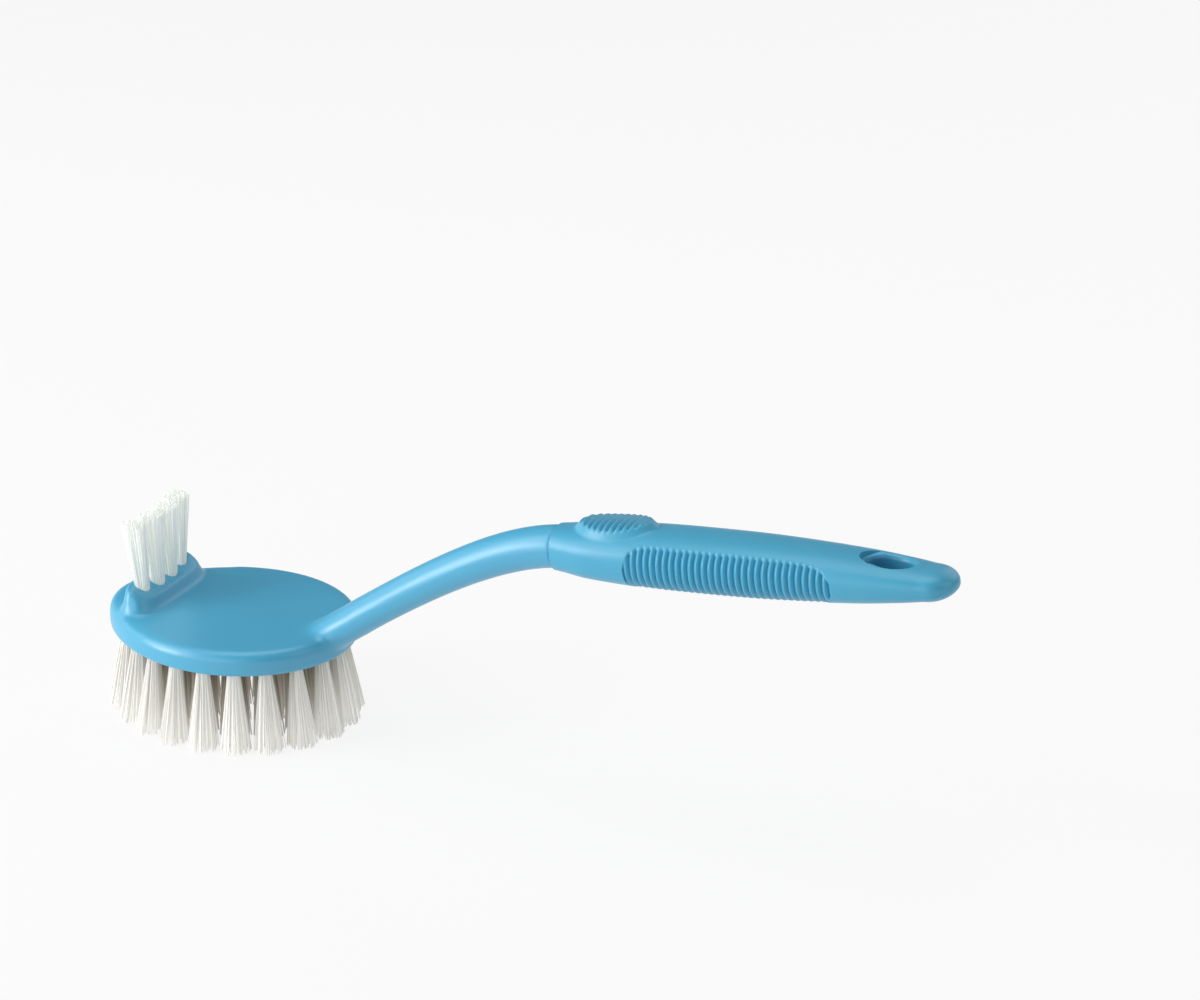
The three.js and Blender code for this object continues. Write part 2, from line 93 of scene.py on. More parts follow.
# Grip, along its own axis from the seam: its mouth is places with how far the edge is drawn in
GRIP_LENGTH = 127 * MM
GRIP_HEEL = GRIP_LENGTH - 8.5 * MM
GRIP_RISE = math.radians(5.5)
GRIP_WAY = Vector((math.cos(GRIP_RISE), 0, math.sin(GRIP_RISE)))
GRIP_SQUARENESS = 2.4
GRIP_SIDES = 144
GRIP_MOUTH = [(0.3 * MM, 0.5 * MM), (0.5 * MM, 0.2 * MM), (0.9 * MM, 0.05 * MM), (1.5 * MM, 0)]
GRIP_SHOULDER, GRIP_SHOULDER_RINGS = 3 * MM, 23
GRIP_TAIL_GAP, GRIP_TAIL_RINGS = 2 * MM, 11
GRIP_END_RINGS, GRIP_END_DEGREES = 15, 6
GRIP_END_LIMIT = 0.998
GRIP_SMOOTH_ANGLE = math.radians(50)

# Ribbed side panels: angles are degrees up from the grip's side, trims are shares of half a panel
RIB_PITCH = 2.1 * MM
SIDE_RIBS = 32
SIDE_RIBS_START = 26.3 * MM
SIDE_RIBS_END = SIDE_RIBS_START + SIDE_RIBS * RIB_PITCH
SIDE_RIB_DEPTH = 1.0 * MM
SIDE_RIB_CREST, SIDE_RIB_VALLEY = 0.15, 0.95
PANEL_TOP, PANEL_LOW = 46, -80
PANEL_NECK_CORNER, PANEL_TAIL_CORNER = 14, 10
PANEL_TAIL_TRIM, PANEL_LOW_CORNER_TRIM = 0.03, 0.05
PANEL_LOW_CORNER_DROP = (5, 50)
PANEL_RADIUS = 10 * MM
PANEL_EDGE = 1.0 * MM
SIDE_RIB_LONG_EDGE, SIDE_RIB_CUTS = 1.5 * MM, 7

# Thumb rest: flank and fade are shares of the way from its edge to its middle
THUMB_AT = 19.9 * MM
THUMB_HALF_LENGTH = 13.8 * MM
THUMB_HALF_WIDTH = 8.4 * MM
THUMB_RISE = 2.3 * MM
THUMB_CROWN = 0.3 * MM
THUMB_FLANK = 0.24
THUMB_RIB_DEPTH = 1.0 * MM
THUMB_RIB_FADE = (0.16, 0.25)
THUMB_MESH_START = THUMB_AT - 15 * MM
THUMB_LONG_EDGE, THUMB_CUTS = 0.8 * MM, 3

# Hanging hole through the tail
HANG_HOLE_AT = GRIP_LENGTH - 20.8 * MM
HANG_HOLE_HALF_LONG = 7.3 * MM
HANG_HOLE_HALF_WIDE = 4.0 * MM
HANG_HOLE_FLARE = 1.7 * MM
HANG_HOLE_OVERSHOOT = 4 * MM
HANG_HOLE_SIDES, HANG_HOLE_FLARE_STEPS = 72, 9

# Tufts under the head
OUTER_RING_INSET = 5.8 * MM
RING_STEP = (HEAD_WIDTH / 2 - OUTER_RING_INSET) / 3
BRISTLE_SPLAY = 1.08
TUFT_FILAMENTS = 140
OUTER_ROOT_RADIUS, INNER_ROOT_RADIUS = 1.6 * MM, 2.5 * MM
TUFT_TIP_RADIUS = 4.9 * MM
TUFT_SINK = 1 * MM
FLOOR_CLEARANCE = 0.05 * MM

# Row of tufts on the ridge, along a bow whose ends swing towards the tip
TIP_TUFTS = 4
TIP_ROW_X = -24.4 * MM
TIP_ROW_BOW = 50 * MM
TIP_TUFT_PITCH = 7.2 * MM
TIP_FILAMENTS = 165
TIP_TUFT_ROOT_RADIUS, TIP_TUFT_TIP_RADIUS = 2.0 * MM, 4.3 * MM
TIP_TUFT_HEIGHT = 23.8 * MM
TIP_TUFT_LEAN = 1.4 * MM
TIP_ROW_FAN = math.tan(math.radians(4.6)) * 23 * MM

# Single filaments
FILAMENT_SIDES = 5
FILAMENT_CUTS = 3
FILAMENT_RADIUS = 0.17 * MM
FILAMENT_TAPER = 0.7
FILAMENT_STRAY = 0.2 * MM
TRIM_UNEVEN = 0.012
TRIM_ROUND = 0.012
FILAMENTS_A_LOCK = 8
LOCK_PULL = 0.45
GOLDEN_TURN = math.pi * (3 - math.sqrt(5))

# Too little to matter, as a distance and as a turn
HAIR = 0.01 * MM
HAIR_TURN = 1e-6


# Small helpers: editing by hand, soft steps and smooth curves

def start_clean():
    if bpy.context.object and bpy.context.object.mode != "OBJECT":
        bpy.ops.object.mode_set(mode="OBJECT")
    bpy.ops.object.select_all(action="DESELECT")


def pick(obj):
    start_clean()
    obj.select_set(True)
    bpy.context.view_layer.objects.active = obj


def edit(obj):
    pick(obj)
    bpy.ops.object.mode_set(mode="EDIT")


def done(obj, name):
    bpy.ops.object.mode_set(mode="OBJECT")
    bpy.ops.object.transform_apply(location=True, rotation=True, scale=True)
    obj.name = name
    obj.data.name = name
    return obj


def pick_edges(obj, wanted):
    bpy.ops.mesh.select_mode(type="EDGE")
    bpy.ops.mesh.select_all(action="DESELECT")
    mesh = bmesh.from_edit_mesh(obj.data)
    for line in mesh.edges:
        ends = [obj.matrix_world @ vert.co for vert in line.verts]
        line.select = wanted(*ends)
    mesh.select_flush_mode()
    bmesh.update_edit_mesh(obj.data)


def face_outwards():
    bpy.ops.mesh.select_all(action="SELECT")
    bpy.ops.mesh.normals_make_consistent(inside=False)


def finish_with(obj, kind, **settings):
    pick(obj)
    step = obj.modifiers.new(kind.title(), kind)
    for key, value in settings.items():
        setattr(step, key, value)
    bpy.ops.object.modifier_apply(modifier=step.name)


def join_solid(body, other, operation):
    finish_with(body, "BOOLEAN", object=other, operation=operation, solver="EXACT")
    bpy.data.objects.remove(other)


def smooth_where(obj, weight, rounds):
    """Softens the mesh where weight(point) is above nothing, as a sculptor's smooth brush does."""
    group = obj.vertex_groups.new(name="soften")
    for vert in obj.data.vertices:
        amount = weight(vert.co)
        if amount > 0:
            group.add([vert.index], min(1.0, amount), "REPLACE")
    finish_with(obj, "SMOOTH", factor=SOFTEN, iterations=rounds, vertex_group="soften")
    obj.vertex_groups.remove(obj.vertex_groups["soften"])


def step_up(low, high, value):
    share = min(1.0, max(0.0, (value - low) / (high - low)))
    return share * share * (3 - 2 * share)


def turn_pitch(angle, middle):
    if abs(angle) > HAIR_TURN:
        bpy.ops.transform.rotate(
            value=angle, orient_axis="Y", orient_type="GLOBAL", center_override=middle)


def sweep_round(sides, tilt, stations):
    """Draws a round and extrudes it from station to station: (middle, pitch, size along x, y, z).

    The swept body is left in edit mode.
    """
    start_clean()
    bpy.ops.mesh.primitive_circle_add(vertices=sides, radius=1, fill_type="NGON", rotation=(0, tilt, 0))
    body = bpy.context.object
    edit(body)
    middle, pitch, size = stations[0]
    bpy.ops.transform.resize(value=size, center_override=(0, 0, 0))
    turn_pitch(pitch, (0, 0, 0))
    bpy.ops.transform.translate(value=middle)
    for next_middle, next_pitch, next_size in stations[1:]:
        bpy.ops.mesh.extrude_region_move(TRANSFORM_OT_translate={"value": next_middle - middle})
        turn_pitch(next_pitch - pitch, next_middle)
        ratio = [b / a for a, b in zip(size, next_size)]
        bpy.ops.transform.resize(value=ratio, center_override=next_middle)
        middle, pitch, size = next_middle, next_pitch, next_size
    return body


def smooth_through(stations):
    """A value that runs smoothly through (place, value) pairs."""
    def value_at(place):
        k = 0
        while k < len(stations) - 2 and place > stations[k + 1][0]:
            k += 1
        (x0, y0), (x1, y1) = stations[k], stations[k + 1]
        slope = []
        for n in (k, k + 1):
            before = stations[max(n - 1, 0)]
            after = stations[min(n + 1, len(stations) - 1)]
            slope.append((after[1] - before[1]) / (after[0] - before[0]))
        run = x1 - x0
        t = (place - x0) / run
        return (
            (2 * t**3 - 3 * t**2 + 1) * y0 + (t**3 - 2 * t**2 + t) * run * slope[0]
            + (-2 * t**3 + 3 * t**2) * y1 + (t**3 - t**2) * run * slope[1])
    return value_at


# Head, ridge and neck: one smooth moulding

def head_place(inset, turn):
    """A point of the head's egg-shaped outline, moved in by inset."""
    c, s = math.cos(turn), math.sin(turn)
    reach = HEAD_TIP_REACH if c < 0 else HEAD_NECK_REACH
    narrow = 1 - HEAD_TIP_NARROWING * min(0, c) ** 2
    return HEAD_WIDEST_X + (reach - inset) * c, (HEAD_WIDTH / 2 - inset) * s * narrow


def make_head_block():
    start_clean()
    bpy.ops.mesh.primitive_cylinder_add(
        vertices=HEAD_SIDES, radius=1, depth=HEAD_THICKNESS,
        location=(0, 0, UNDERSIDE + HEAD_THICKNESS / 2))
    block = bpy.context.object
    for vert in block.data.vertices:
        vert.co.x, vert.co.y = head_place(0, math.atan2(vert.co.y, vert.co.x))
    edit(block)
    pick_edges(block, lambda a, b: min(a.z, b.z) > DECK - HAIR)
    bpy.ops.mesh.bevel(offset=RIM_ROUND, segments=RIM_SEGMENTS, profile=0.5, affect="EDGES")
    pick_edges(block, lambda a, b: max(a.z, b.z) < UNDERSIDE + HAIR)
    bpy.ops.mesh.bevel(offset=LOW_EDGE_ROUND, segments=LOW_EDGE_SEGMENTS, profile=0.5, affect="EDGES")
    return done(block, "head_block")


def ridge_squareness(inwards):
    """The ridge is straighter along the deck's side and rounder along the tip."""
    return RIDGE_SQUARENESS_IN if inwards else RIDGE_SQUARENESS_OUT


def ridge_place(into, out, span, turn):
    """A point round the ridge: into towards the deck, out towards the tip, span to both ends."""
    c, s = math.cos(turn), math.sin(turn)
    power = ridge_squareness(c > 0)
    swell = (abs(c) ** power + abs(s) ** power) ** (-1 / power)
    return RIDGE_X + (into if c > 0 else out) * c * swell, span * s * swell


def ridge_share(point):
    """How far out a point lies from the ridge's middle: one on the outline of its foot."""
    ahead = point.x - RIDGE_X
    power = ridge_squareness(ahead > 0)
    reach = RIDGE_FOOT_IN if ahead > 0 else RIDGE_FOOT_OUT
    return (abs(ahead / reach) ** power + abs(point.y / RIDGE_FOOT_SPAN) ** power) ** (1 / power)


def make_ridge():
    """A round drawn below the deck and extruded up, narrower at its top, which rises towards the tip.

    Each level has its height and how far it has leaned in, from nothing at the foot to one and more.
    """
    levels = [
        (DECK - RIDGE_BURIED, 0), (DECK, 0), (RIDGE_TOP - 1 * MM, 0.82), (RIDGE_TOP - 0.3 * MM, 1.04),
        (RIDGE_TOP, 1.36)]
    start_clean()
    bpy.ops.mesh.primitive_circle_add(
        vertices=RIDGE_SIDES, radius=1, fill_type="NGON", location=(0, 0, levels[0][0]))
    bar = bpy.context.object
    bpy.ops.object.transform_apply(location=True)
    edit(bar)
    for (low, _), (high, _) in zip(levels, levels[1:]):
        bpy.ops.mesh.extrude_region_move(TRANSFORM_OT_translate={"value": (0, 0, high - low)})
    mesh = bmesh.from_edit_mesh(bar.data)
    for vert in mesh.verts:
        lean = min(levels, key=lambda level: abs(level[0] - vert.co.z))[1]
        into = RIDGE_FOOT_IN + (RIDGE_TOP_IN - RIDGE_FOOT_IN) * lean
        out = RIDGE_FOOT_OUT + (RIDGE_TOP_OUT - RIDGE_FOOT_OUT) * lean
        span = RIDGE_FOOT_SPAN + (RIDGE_TOP_SPAN - RIDGE_FOOT_SPAN) * lean
        vert.co.x, vert.co.y = ridge_place(into, out, span, math.atan2(vert.co.y, vert.co.x))
        if lean:
            vert.co.z += RIDGE_RISE * step_up(0, RIDGE_RISE_RUN, RIDGE_X + RIDGE_TOP_IN - vert.co.x)
    bmesh.update_edit_mesh(bar.data)
    face_outwards()
    return done(bar, "ridge")


# The neck's section in millimetres, by share of its length
neck_width = smooth_through([
    (0, 20), (0.08, 16.4), (0.16, 13.6), (0.28, 12.2), (0.5, 12.1), (0.8, 12.8), (1, 13.4)])
neck_height = smooth_through([(0, 11.4), (0.1, 11.4), (0.25, 11), (0.5, 11.5), (0.8, 12.5), (1, 12.9)])


def neck_place(share):
    """A point of the neck's middle line, and its pitch."""
    leave = NECK_ROOT + NECK_ROOT_PULL * Vector((math.cos(NECK_ROOT_ANGLE), 0, math.sin(NECK_ROOT_ANGLE)))
    arrive = SEAM - NECK_END_PULL * Vector((math.cos(NECK_END_ANGLE), 0, math.sin(NECK_END_ANGLE)))
    s = 1 - share
    place = s**3 * NECK_ROOT + 3 * s * s * share * leave + 3 * s * share**2 * arrive + share**3 * SEAM
    way = s * s * (leave - NECK_ROOT) + 2 * s * share * (arrive - leave) + share**2 * (SEAM - arrive)
    return place, math.atan2(way.z, way.x)


def make_neck():
    stations = []
    for k in range(NECK_STEPS + 1):
        share = k / NECK_STEPS
        middle, pitch = neck_place(share)
        tall = neck_height(share) / 2 * MM
        wide = neck_width(share) / 2 * MM
        stations.append((middle, pitch if k < NECK_STEPS else GRIP_RISE, (tall, wide, tall)))
    stations.append((SEAM + STUB_SHOULDER * GRIP_WAY, GRIP_RISE, STUB_START_SIZE))
    stations.append((SEAM + STUB_LENGTH * GRIP_WAY, GRIP_RISE, STUB_END_SIZE))
    neck = sweep_round(NECK_SIDES, math.pi / 2, stations)
    face_outwards()
    return done(neck, "neck")


def above_low_edge(point):
    return step_up(*FILLETS_BEGIN, point.z)


def ridge_fillet(point):
    """Where the ridge's foot runs into the deck."""
    near = 1 - step_up(*RIDGE_FILLET_REACH, abs(ridge_share(point) - RIDGE_FILLET_SHARE))
    foot = 1 - step_up(*RIDGE_FILLET_HEIGHT, abs(point.z - DECK))
    return near * foot * above_low_edge(point)


def root_fillet(point):
    """Where the neck's root runs into the deck."""
    away = (point - ROOT_FILLET_AT).length
    return (1 - step_up(*ROOT_FILLET_REACH, away)) * above_low_edge(point)


def make_head_and_neck():
    body = make_head_block()
    join_solid(body, make_ridge(), "UNION")
    join_solid(body, make_neck(), "UNION")
    finish_with(body, "REMESH", mode="VOXEL", voxel_size=MOULDING_VOXEL, use_smooth_shade=True)
    smooth_where(body, lambda point: 1, SOFTEN_ROUNDS)
    smooth_where(body, ridge_fillet, RIDGE_FILLET_ROUNDS)
    smooth_where(body, root_fillet, ROOT_FILLET_ROUNDS)
    pick(body)
    bpy.ops.object.shade_smooth()
    body.name = "brush_head_and_neck"
    return body


# Grip: a swept body, then its ribs, thumb rest and hanging hole. Its section is in millimetres.

grip_width = smooth_through([
    (0, 14.4), (4 * MM, 16.6), (11.7 * MM, 20.4), (27.7 * MM, 23.4), (43.7 * MM, 24.6), (69.7 * MM, 24.2),
    (97 * MM, 22), (111.7 * MM, 19.2), (GRIP_HEEL, 17)])
grip_height = smooth_through([
    (0, 13.4), (4 * MM, 14), (11.7 * MM, 15.6), (27.7 * MM, 17), (43.7 * MM, 17.4), (69.7 * MM, 16.8),
    (97 * MM, 13.8), (111.7 * MM, 10.9), (GRIP_HEEL, 9.2)])


def grip_half(x):
    """Half the width and half the height of the grip at a place along it, with its rounded end."""
    if x <= GRIP_HEEL:
        return grip_width(x) / 2 * MM, grip_height(x) / 2 * MM
    over = min(GRIP_END_LIMIT, (x - GRIP_HEEL) / (GRIP_LENGTH - GRIP_HEEL))
    shrink = math.sqrt(1 - over * over)
    return grip_width(GRIP_HEEL) / 2 * MM * shrink, grip_height(GRIP_HEEL) / 2 * MM * shrink


def grip_top(x, y):
    wide, tall = grip_half(x)
    share = min(1.0, abs(y) / wide)
    return tall * (1 - share**GRIP_SQUARENESS) ** (1 / GRIP_SQUARENESS)


def rib_wave(x, start):
    """Nothing in the valley between two ribs, one on a crest."""
    return abs(math.sin(math.pi * (x - start) / RIB_PITCH))


def panel_share(x, lift):
    """How much a point lies inside the ribbed side panel: lift is its angle up from the grip's side."""
    along = 2 * (x - SIDE_RIBS_START) / (SIDE_RIBS_END - SIDE_RIBS_START) - 1
    if along > 0:
        along += PANEL_TAIL_TRIM + PANEL_LOW_CORNER_TRIM * step_up(*PANEL_LOW_CORNER_DROP, -lift)
    if abs(along) >= 1:
        return 0
    corner = PANEL_TAIL_CORNER if along > 0 else PANEL_NECK_CORNER
    half = (PANEL_TOP - PANEL_LOW) / 2 * (1 - abs(along) ** corner) ** 0.5
    inside = math.radians(half - abs(lift - (PANEL_TOP + PANEL_LOW) / 2)) * PANEL_RADIUS
    return step_up(0, PANEL_EDGE, inside)


def side_rib_depth(x, lift):
    deep = SIDE_RIB_CREST + SIDE_RIB_VALLEY * (1 - rib_wave(x, SIDE_RIBS_START))
    return panel_share(x, lift) * SIDE_RIB_DEPTH * deep


def thumb_rise(x, y):
    away = math.hypot((x - THUMB_AT) / THUMB_HALF_LENGTH, y / THUMB_HALF_WIDTH)
    if away >= 1:
        return 0
    pad = THUMB_RISE * step_up(0, THUMB_FLANK, 1 - away) + THUMB_CROWN * (1 - away)
    ribbed = step_up(*THUMB_RIB_FADE, 1 - away)
    return pad - ribbed * THUMB_RIB_DEPTH * (1 - rib_wave(x, THUMB_AT))


def shape_grip(grip):
    """Squares the swept body's sections a little, presses the ribs in and raises the thumb rest."""
    power = GRIP_SQUARENESS
    for vert in grip.data.vertices:
        x, y, z = vert.co
        wide, tall = grip_half(x)
        turn = math.atan2(z / tall, y / wide)
        c, s = math.cos(turn), math.sin(turn)
        swell = (abs(c) ** power + abs(s) ** power) ** (-1 / power)
        y, z = wide * c * swell, tall * s * swell
        out = Vector((
            0, math.copysign(abs(c * swell) ** (power - 1) / wide, c),
            math.copysign(abs(s * swell) ** (power - 1) / tall, s))).normalized()
        lift = math.degrees(math.atan2(s, abs(c)))
        deep = side_rib_depth(x, lift)
        rise = thumb_rise(x, y) if z > 0 else 0
        vert.co = Vector((x, y, z + rise)) - out * deep


def make_hanging_hole():
    """The cutter for the hanging hole: an oval plug that flares at the grip's faces."""
    radius = HANG_HOLE_FLARE
    half_long, half_wide = HANG_HOLE_HALF_LONG, HANG_HOLE_HALF_WIDE
    middle_top = grip_top(HANG_HOLE_AT, 0)
    levels = [(-middle_top - HANG_HOLE_OVERSHOOT, radius)]
    for k in range(HANG_HOLE_FLARE_STEPS + 1):
        a = math.radians(90 - 90 / HANG_HOLE_FLARE_STEPS * k)
        levels.append((-middle_top + radius - radius * math.sin(a), radius * (1 - math.cos(a))))
    levels += [(-z, flare) for z, flare in reversed(levels)]
    plug = sweep_round(HANG_HOLE_SIDES, 0, [
        (Vector((HANG_HOLE_AT, 0, z)), 0, (half_long + flare, half_wide + flare, 1))
        for z, flare in levels])
    face_outwards()
    done(plug, "hanging_hole")
    for vert in plug.data.vertices:
        x, y, z = vert.co
        away = Vector((x - HANG_HOLE_AT, y, 0))
        rim = Vector((HANG_HOLE_AT, 0, 0)) + away * (
            1 / math.hypot(away.x / (half_long + radius), away.y / (half_wide + radius)))
        drop = middle_top - grip_top(rim.x, rim.y)
        vert.co.z -= math.copysign(drop, z) * step_up(0, middle_top - radius, abs(z))
    return plug


def lengthwise(low, high, least):
    """Tells the edges that run along the grip between two places and are longer than least."""
    def wanted(a, b):
        return abs(a.x - b.x) > least and low < min(a.x, b.x) and max(a.x, b.x) < high
    return wanted


def make_grip():
    places = [x for x, _ in GRIP_MOUTH]
    places += [GRIP_SHOULDER + RIB_PITCH / 2 * k for k in range(GRIP_SHOULDER_RINGS)]
    places += [SIDE_RIBS_START + RIB_PITCH * k for k in range(SIDE_RIBS + 1)]
    places += [SIDE_RIBS_END + GRIP_TAIL_GAP + RIB_PITCH * k for k in range(GRIP_TAIL_RINGS)]
    places = [x for x in places if x < GRIP_HEEL]
    for k in range(GRIP_END_RINGS):
        turn = math.radians(GRIP_END_DEGREES * k)
        places.append(GRIP_HEEL + (GRIP_LENGTH - GRIP_HEEL) * math.sin(turn))
    insets = dict(GRIP_MOUTH)
    stations = []
    for x in places:
        wide, tall = grip_half(x)
        inset = insets.get(x, 0)
        stations.append((Vector((x, 0, 0)), 0, (1, wide - inset, tall - inset)))
    grip = sweep_round(GRIP_SIDES, math.pi / 2, stations)
    pick_edges(grip, lengthwise(THUMB_MESH_START, SIDE_RIBS_START + HAIR, THUMB_LONG_EDGE))
    bpy.ops.mesh.subdivide(number_cuts=THUMB_CUTS)
    pick_edges(grip, lengthwise(SIDE_RIBS_START - HAIR, SIDE_RIBS_END + HAIR, SIDE_RIB_LONG_EDGE))
    bpy.ops.mesh.subdivide(number_cuts=SIDE_RIB_CUTS)
    face_outwards()
    done(grip, "brush_grip")
    shape_grip(grip)
    join_solid(grip, make_hanging_hole(), "DIFFERENCE")
    grip.data.transform(Matrix.Translation(SEAM) @ Matrix.Rotation(-GRIP_RISE, 4, "Y"))
    pick(grip)
    bpy.ops.object.shade_smooth_by_angle(angle=GRIP_SMOOTH_ANGLE)
    return grip


# Bristles: one filament, copied into flared tufts

def make_filament():
    """One filament of unit length and unit radius: rings of points and the faces between them."""
    start_clean()
    bpy.ops.mesh.primitive_cylinder_add(vertices=FILAMENT_SIDES, radius=1, depth=1, location=(0, 0, 0.5))
    rod = bpy.context.object
    edit(rod)
    pick_edges(rod, lambda a, b: abs(a.z - b.z) > 0.5)
    bpy.ops.mesh.subdivide(number_cuts=FILAMENT_CUTS)
    pick_edges(rod, lambda a, b: min(a.z, b.z) > 0.99)
    bpy.ops.transform.resize(value=(FILAMENT_TAPER, FILAMENT_TAPER, 1), center_override=(0, 0, 1))
    done(rod, "filament")
    shape = [tuple(vert.co) for vert in rod.data.vertices]
    faces = [tuple(face.vertices) for face in rod.data.polygons]
    bpy.data.objects.remove(rod)
    return shape, faces


FILAMENT_SHAPE, FILAMENT_FACES = make_filament()


def disc_place(k, count):
    """Place k of count places spread evenly over a disc of unit radius."""
    ring = math.sqrt((k + 0.5) / count)
    return Vector((math.cos(k * GOLDEN_TURN), math.sin(k * GOLDEN_TURN), 0)) * ring


def grow_tuft(rng, root, tip, count, root_radius, tip_radius):
    """Gives a tuft's filaments one by one: start, end and the share of that length left by the trim.

    They leave the root together, flare and gather in small locks at the tip.
    """
    locks = [disc_place(k, count // FILAMENTS_A_LOCK) for k in range(count // FILAMENTS_A_LOCK)]
    for k in range(count):
        way = disc_place(k, count)
        lock = min(locks, key=lambda place: (place - way).length)
        start = root + way * root_radius
        end = tip + way.lerp(lock, LOCK_PULL) * tip_radius
        end += Vector((rng.gauss(0, FILAMENT_STRAY), rng.gauss(0, FILAMENT_STRAY), 0))
        reach = 1 - abs(rng.gauss(0, TRIM_UNEVEN)) - TRIM_ROUND * way.length_squared
        yield start, end, reach


def bristle_piece(name, tufts):
    """Copies the filament into every tuft. The random draws start from the number of tufts."""
    points, faces, shades = [], [], []
    rng = random.Random(len(tufts))
    for tuft in tufts:
        for start, end, reach in grow_tuft(rng, *tuft):
            first = len(points)
            shades.extend([rng.random()] * len(FILAMENT_SHAPE))
            for px, py, pz in FILAMENT_SHAPE:
                middle = start.lerp(end, pz * reach)
                points.append((middle.x + px * FILAMENT_RADIUS, middle.y + py * FILAMENT_RADIUS, middle.z))
            up = end.z > start.z
            for face in FILAMENT_FACES:
                faces.append(tuple(first + v for v in (face if up else reversed(face))))
    mesh = bpy.data.meshes.new(name)
    mesh.from_pydata(points, [], faces)
    mesh.attributes.new("filament_shade", "FLOAT", "POINT").data.foreach_set("value", shades)
    piece = bpy.data.objects.new(name, mesh)
    bpy.context.collection.objects.link(piece)
    return piece


def even_places(count, inset):
    """Places round the head's outline, moved in by inset, the same distance apart."""
    steps = 720
    line = [Vector((*head_place(inset, 2 * math.pi * k / steps), 0)) for k in range(steps + 1)]
    run = [0]
    for here, there in zip(line, line[1:]):
        run.append(run[-1] + (there - here).length)
    return [line[bisect.bisect(run, run[-1] * (k + 0.5) / count)] for k in range(count)]


def ring_tufts(ring, count, root_radius, with_middle=False):
    places = even_places(count, OUTER_RING_INSET + ring * RING_STEP)
    if with_middle:
        places.append(Vector((0, 0, 0)))
    tufts = []
    for place in places:
        root = place + Vector((0, 0, UNDERSIDE + TUFT_SINK))
        tip = place * BRISTLE_SPLAY + Vector((0, 0, FLOOR_CLEARANCE))
        tufts.append((root, tip, TUFT_FILAMENTS, root_radius, TUFT_TIP_RADIUS))
    return tufts


def tip_tufts():
    tufts = []
    row_middle = (TIP_TUFTS - 1) / 2
    for k in range(TIP_TUFTS):
        turn = (k - row_middle) * TIP_TUFT_PITCH / TIP_ROW_BOW
        x = TIP_ROW_X - TIP_ROW_BOW + TIP_ROW_BOW * math.cos(turn)
        y = TIP_ROW_BOW * math.sin(turn)
        fan = TIP_ROW_FAN * (k - row_middle) / row_middle
        root = Vector((x, y, RIDGE_TOP - TUFT_SINK))
        tip = Vector((x - TIP_TUFT_LEAN, y + fan, RIDGE_TOP + TIP_TUFT_HEIGHT))
        tufts.append((root, tip, TIP_FILAMENTS, TIP_TUFT_ROOT_RADIUS, TIP_TUFT_TIP_RADIUS))
    return tufts


# Materials: a fade is where a painted shade is nothing and where it is full

CLOUD_ROUGHNESS = 0.08
# Painted shade inside the hanging hole, darker towards its end nearer the neck
HOLE_SHADE, HOLE_SHADE_LEAN = 0.75, 0.35
HOLE_SHADE_FADE = (1.4, 1.0)
# Painted shade among the tufts, where little light comes in
AMONG_TUFTS_REACH = 40 * MM
AMONG_TUFTS_FADE = (0.74, 0.42)
# Painted shade towards the roots and among the tufts, and a tone that differs from filament to filament
ROOT_SHADE, STRAND_SHADE = 0.24, 0.32
AMONG_TUFTS_SHADE, AMONG_ROOTS_SHADE = 0.3, 0.45
NYLON_ROUGHNESS, STRAND_ROUGHNESS = 0.42, 0.2
# Painted light: the nylon glows a little, so it reads brighter than the lamps alone make it
NYLON_PAINTED_GLOW = 0.2
WIRE_ROUGHNESS, STREAK_ROUGHNESS = 0.28, 0.2


class Value:
    """An output socket, so that shader maths can be written as sums."""

    def __init__(self, look, socket):
        self.look = look
        self.socket = socket

    def maths(self, operation, first, second):
        return self.look.node("ShaderNodeMath", {"operation": operation}, {0: first, 1: second})

    def __add__(self, other):
        return self.maths("ADD", self, other)

    __radd__ = __add__

    def __mul__(self, other):
        return self.maths("MULTIPLY", self, other)

    __rmul__ = __mul__

    def __sub__(self, other):
        return self.maths("SUBTRACT", self, other)

    def __rsub__(self, other):
        return self.maths("SUBTRACT", other, self)


class Look:
    """A material's node tree, with one way to add a node."""

    def __init__(self, name):
        self.material = bpy.data.materials.new(name)
        self.material.use_nodes = True
        self.tree = self.material.node_tree
        self.shader = self.tree.nodes["Principled BSDF"]

    def node(self, kind, settings=None, inputs=None, output=0):
        made = self.tree.nodes.new(kind)
        for key, value in (settings or {}).items():
            setattr(made, key, value)
        for key, value in (inputs or {}).items():
            self.feed(made.inputs[key], value)
        return Value(self, made.outputs[output])

    def feed(self, socket, value):
        if isinstance(value, Value):
            self.tree.links.new(value.socket, socket)
        else:
            socket.default_value = value

    def set(self, **values):
        for key, value in values.items():
            self.feed(self.shader.inputs[key.replace("_", " ")], value)


def linear(red, green, blue):
    """A colour as it looks on a screen, from 0 to 255, in the renderer's own levels."""
    def one(level):
        level /= 255
        return level / 12.92 if level <= 0.04045 else ((level + 0.055) / 1.055) ** 2.4
    return (one(red), one(green), one(blue), 1)


def object_place(look):
    return look.node("ShaderNodeTexCoord", output="Object")


def axes(look, place):
    return [look.node("ShaderNodeSeparateXYZ", {}, {0: place}, output=axis) for axis in range(3)]


def mix(look, share, first, second):
    return look.node("ShaderNodeMix", {"data_type": "RGBA"}, {0: share, 6: first, 7: second}, output=2)


def rising(look, value, nothing_at, one_at):
    return look.node("ShaderNodeMapRange", {"clamp": True}, {0: value, 1: nothing_at, 2: one_at})


